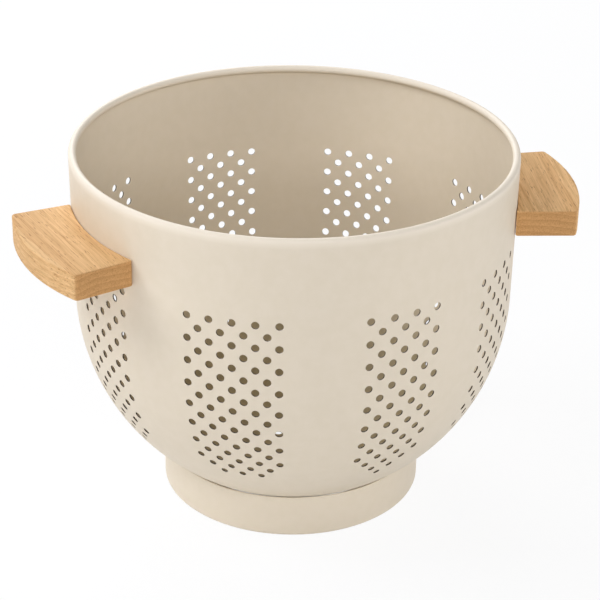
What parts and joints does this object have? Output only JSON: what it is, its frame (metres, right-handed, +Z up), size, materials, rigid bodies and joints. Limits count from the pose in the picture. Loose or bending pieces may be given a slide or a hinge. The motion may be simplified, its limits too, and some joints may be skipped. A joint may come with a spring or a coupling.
{
  "type": "colander",
  "caption": "Deep round perforated bowl with a rolled rim, on a foot ring, with wooden handle blocks at the sides, for draining and rinsing food.",
  "frame": {"origin": "on the bowl's axis, on the surface that the foot ring stands on", "axes": "+Z up along the bowl's axis, +X from the left handle to the right handle, -Y to the front"},
  "size_m": [0.3054, 0.2395, 0.201],
  "materials": {
    "coated_steel": "satin-matt cream powder coat",
    "handle_wood": "oiled oak",
    "fastener_steel": "plain stainless",
    "insert_brass": "plain turned brass"
  },
  "bodies": {
    "root": {"bowl": "coated_steel", "foot_ring": "coated_steel", "handle_left": "handle_wood", "handle_right": "handle_wood", "handle_left_insert": "insert_brass", "handle_right_insert": "insert_brass", "handle_left_washer": "fastener_steel", "handle_right_washer": "fastener_steel", "handle_left_screw": "fastener_steel", "handle_right_screw": "fastener_steel"}
  },
  "joints": []
}
